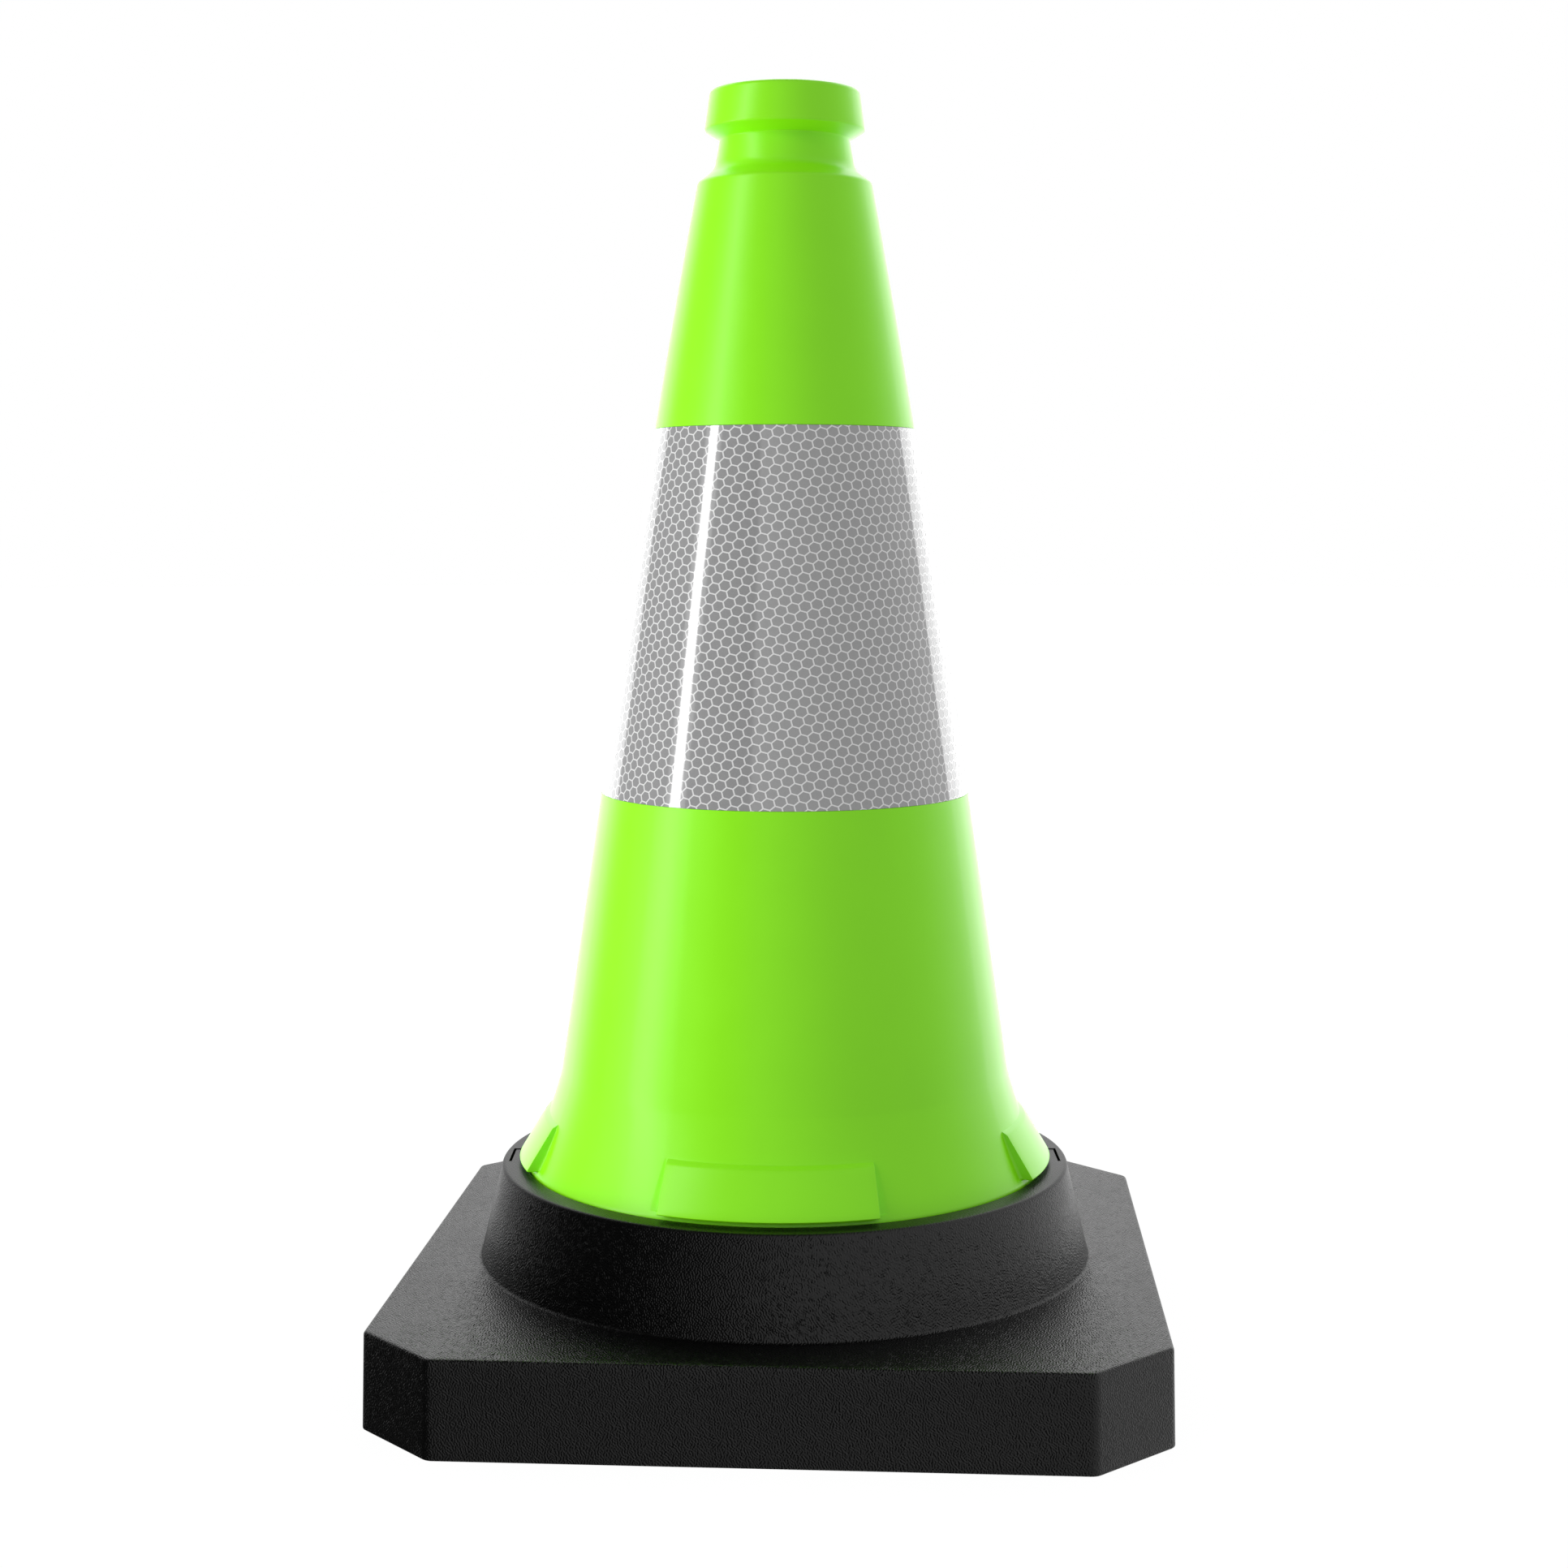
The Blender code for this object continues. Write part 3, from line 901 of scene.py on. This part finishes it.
def build_floor():
    """A plain pale floor. It's seen only by the camera, so the black base mirrors the studio walls."""
    body = bmesh.new()
    bmesh.ops.create_circle(body, cap_ends=True, radius=FLOOR_RADIUS, segments=96)
    mesh = mesh_from("floor", body)
    floor = bpy.data.objects.new("floor", mesh)
    bpy.context.scene.collection.objects.link(floor)
    floor.location.z = -FLOOR_DROP
    floor.visible_diffuse = False
    floor.visible_glossy = False
    floor.visible_transmission = False
    floor.visible_shadow = False
    made, add = new_material("pale_floor")
    diffuse = add("ShaderNodeBsdfDiffuse", {"Color": (0.08, 0.08, 0.08, 1)})
    glow = add("ShaderNodeEmission", {"Color": (1, 1, 1, 1), "Strength": 0.97})
    pale = add("ShaderNodeAddShader", {0: diffuse.outputs[0], 1: glow.outputs[0]})
    add("ShaderNodeOutputMaterial", {"Surface": pale.outputs[0]})
    mesh.materials.append(made)


# What the studio's walls look like in the cone's and the base's gloss, as (degrees round from the
# camera, to its right, seen from the cone; brightness) above the horizon and below it
WALL_SCALE = 4.0                  # a colour ramp holds 1 at most, so it holds these divided by this
WALLS = (
    (-180, 1.4),
    (-136, 0.55),
    (-124, 0.2),
    (-114, 0.03),
    (-22, 0.03),
    (-20, 0.62),
    (0, 0.58),
    (30, 0.46),
    (80, 0.46),
    (112, 0.60),
    (140, 0.9),
    (180, 1.4),
)
LOW_WALLS = (
    (-180, 1.1),
    (-150, 0.3),
    (-130, 0.03),
    (-95, 0.03),
    (-35, 0.05),
    (-12, 0.26),
    (5, 0.34),
    (60, 0.55),
    (113, 0.60),
    (180, 1.1),
)
HORIZON = (-0.28, -0.2)           # sines of the elevations between which the two sets are mixed
CEILING = (0.8, 0.97)             # and between which the walls fade to a dark ceiling

# The diffuse light, as (sine of the elevation it comes from, brightness)
AMBIENT = ((-1, 0.72), (-0.3, 0.55), (0, 0.40), (0.3, 0.40), (1, 0.62))


def brightness_ramp(add, value, reach, levels, scale=1.0):
    """Brightness by a value between -reach and reach, divided by scale."""
    share = add("ShaderNodeMapRange", {"Value": value, "From Min": -reach, "From Max": reach})
    made = add("ShaderNodeValToRGB", {"Fac": share.outputs["Result"]})
    stops = made.color_ramp.elements
    for index, (place, level) in enumerate(levels):
        if index == 0:
            stop = stops[0]
        elif index == len(levels) - 1:
            stop = stops[-1]
        else:
            stop = stops.new(0.5)
        stop.position = (place / reach + 1) / 2
        grey = level / scale
        stop.color = (grey, grey, grey, 1)
    return made.outputs["Color"]


def mirrored_walls(add, split):
    """The background that reflections see: both sets of walls, and the ceiling above them."""
    back = add("ShaderNodeMath", {0: split.outputs["Y"], 1: -1.0}, operation="MULTIPLY")
    round_angle = add(
        "ShaderNodeMath", {0: split.outputs["X"], 1: back.outputs[0]}, operation="ARCTAN2"
    )

    def walls(levels):
        in_radians = [(math.radians(degrees), level) for degrees, level in levels]
        return brightness_ramp(add, round_angle.outputs[0], math.pi, in_radians, WALL_SCALE)

    height = split.outputs["Z"]
    around = add(
        "ShaderNodeMix",
        {"Factor": fade(add, height, HORIZON, 0.0, 1.0), "A": walls(LOW_WALLS), "B": walls(WALLS)},
        data_type="RGBA",
    )
    strength = fade(add, height, CEILING, WALL_SCALE, 0.0)
    return add("ShaderNodeBackground", {"Color": around.outputs["Result"], "Strength": strength})


def build_world():
    """White to the camera. For light and reflections, walls of different brightness round the cone."""
    world = bpy.data.worlds.new("studio")
    bpy.context.scene.world = world
    world.use_nodes = True
    world.cycles.sampling_method = "NONE"
    add = node_adder(world.node_tree)
    direction = add("ShaderNodeTexCoord").outputs["Generated"]
    facing = add(
        "ShaderNodeVectorRotate",
        {"Vector": direction, "Angle": -CAMERA_TURN},
        rotation_type="Z_AXIS",
    )
    split = add("ShaderNodeSeparateXYZ", {0: facing.outputs[0]})
    mirrored = mirrored_walls(add, split)
    ambient = add(
        "ShaderNodeBackground",
        {"Color": brightness_ramp(add, split.outputs["Z"], 1, AMBIENT), "Strength": 1.0},
    )
    white = add("ShaderNodeBackground", {"Color": (1, 1, 1, 1), "Strength": 1.0})
    path = add("ShaderNodeLightPath")
    gloss = path.outputs["Is Glossy Ray"]
    seen = path.outputs["Is Camera Ray"]
    lit = add("ShaderNodeMixShader", {0: gloss, 1: ambient.outputs[0], 2: mirrored.outputs[0]})
    mixed = add("ShaderNodeMixShader", {0: seen, 1: lit.outputs[0], 2: white.outputs[0]})
    add("ShaderNodeOutputWorld", {"Surface": mixed.outputs[0]})


def place_round(turn, distance, height):
    """A point at a turn round from the camera's direction, seen from the cone's axis."""
    angle = CAMERA_TURN + math.radians(turn)
    return Vector((distance * math.sin(angle), -distance * math.cos(angle), height))


def add_softbox(name, centre, size, brightness, aim_z, lean=0.0):
    """A rectangular light that faces the cone's axis at a height. It leans sideways by lean.

    Brightness is what a mirror would show of it.
    """
    width, tall = size
    data = bpy.data.lights.new(name, "AREA")
    data.shape = "RECTANGLE"
    data.size = width
    data.size_y = tall
    data.energy = brightness * math.pi * width * tall
    light = bpy.data.objects.new(name, data)
    bpy.context.scene.collection.objects.link(light)
    light.location = centre
    aim = Vector((0, 0, aim_z)) - light.location
    turned = Matrix.Rotation(lean, 3, "Z")
    light.rotation_euler = (aim.to_track_quat("-Z", "Y").to_matrix() @ turned).to_euler()
    light.visible_camera = False
    return light


def light_only(light, pieces):
    """Make a light shine on some pieces and on nothing else."""
    lit = bpy.data.collections.new(light.name)
    for piece in pieces:
        lit.objects.link(piece)
    light.light_linking.receiver_collection = lit


# The lights. Turns are in degrees round from the camera, to its right, seen from the cone. Sizes,
# distances and heights are in metres, and brightnesses are what a mirror would show
STRIP_TURN = -66.1
STRIP_LEAN = math.radians(-22)    # the strip's top leans towards the front
STRIP_TALL = 2.4
STRIPS = (("left_strip", 0.26, 6.8), ("left_glow", 0.5, 0.9))     # (name, width, brightness)
STUDIO_DISTANCE = 2.0             # of the strips and the back walls, from the cone's axis
STUDIO_HEIGHT = 0.9               # and the height of their centres
BACK_WALLS = (("left", -152), ("right", 148))                     # (side, turn)
BACK_WALL_SIZE = (2.0, 3.0)
KEYS = (("left", -82, 0.15), ("right", 115, 0.3))                 # (side, turn, height)
KEY_DISTANCE = 1.5
KEY_SIZE = (0.9, 1.2)
KEY_AIM = 0.2                     # the height on the cone's axis that the keys face
MOULDING_LIGHT = {"back": 1.4, "left": 3.9, "right": 1.7}         # brightnesses
FILM_LIGHT = {"back": 1.8, "left": 2.3, "right": 1.0}


def build_strips(pieces):
    """A tall strip with a soft glow round it, which makes the streak on the film."""
    for name, width, brightness in STRIPS:
        centre = place_round(STRIP_TURN, STUDIO_DISTANCE, STUDIO_HEIGHT)
        size = (width, STRIP_TALL)
        strip = add_softbox(name, centre, size, brightness, HEIGHT / 2, STRIP_LEAN)
        light_only(strip, pieces)


def build_back_walls(piece, brightness):
    """Walls behind the cone that show only in a piece's gloss, and make its white edges."""
    for side, turn in BACK_WALLS:
        name = side + "_wall_of_" + piece.name
        centre = place_round(turn, STUDIO_DISTANCE, STUDIO_HEIGHT)
        wall = add_softbox(name, centre, BACK_WALL_SIZE, brightness, HEIGHT)
        wall.visible_diffuse = False
        light_only(wall, [piece])


def build_keys(piece, brightness):
    """Lights on a piece's left and right sides that make no highlight."""
    for side, turn, height in KEYS:
        name = side + "_key_of_" + piece.name
        centre = place_round(turn, KEY_DISTANCE, height)
        key = add_softbox(name, centre, KEY_SIZE, brightness[side], KEY_AIM)
        key.visible_glossy = False
        light_only(key, [piece])


def build_lights(moulding, film):
    """The lights, which shine on the cone only, so that none of them shows in the black base."""
    build_strips([moulding, film])
    for piece, brightness in ((moulding, MOULDING_LIGHT), (film, FILM_LIGHT)):
        build_back_walls(piece, brightness["back"])
        build_keys(piece, brightness)


def build_camera():
    """The camera, a little above the cone's middle and pitched down."""
    data = bpy.data.cameras.new("camera")
    data.lens = CAMERA_LENS
    camera = bpy.data.objects.new("camera", data)
    bpy.context.scene.collection.objects.link(camera)
    camera.location = place_round(0, CAMERA_DISTANCE, CAMERA_HEIGHT)
    camera.rotation_euler = (math.pi / 2 - CAMERA_PITCH, 0, CAMERA_TURN + CAMERA_YAW)
    bpy.context.scene.camera = camera


def main():
    """Build the pieces and the studio."""
    moulding = build_cone_moulding()
    film = build_honeycomb_film()
    build_base_moulding()
    build_floor()
    build_world()
    build_lights(moulding, film)
    build_camera()
    bpy.context.scene.view_settings.view_transform = "Standard"


main()
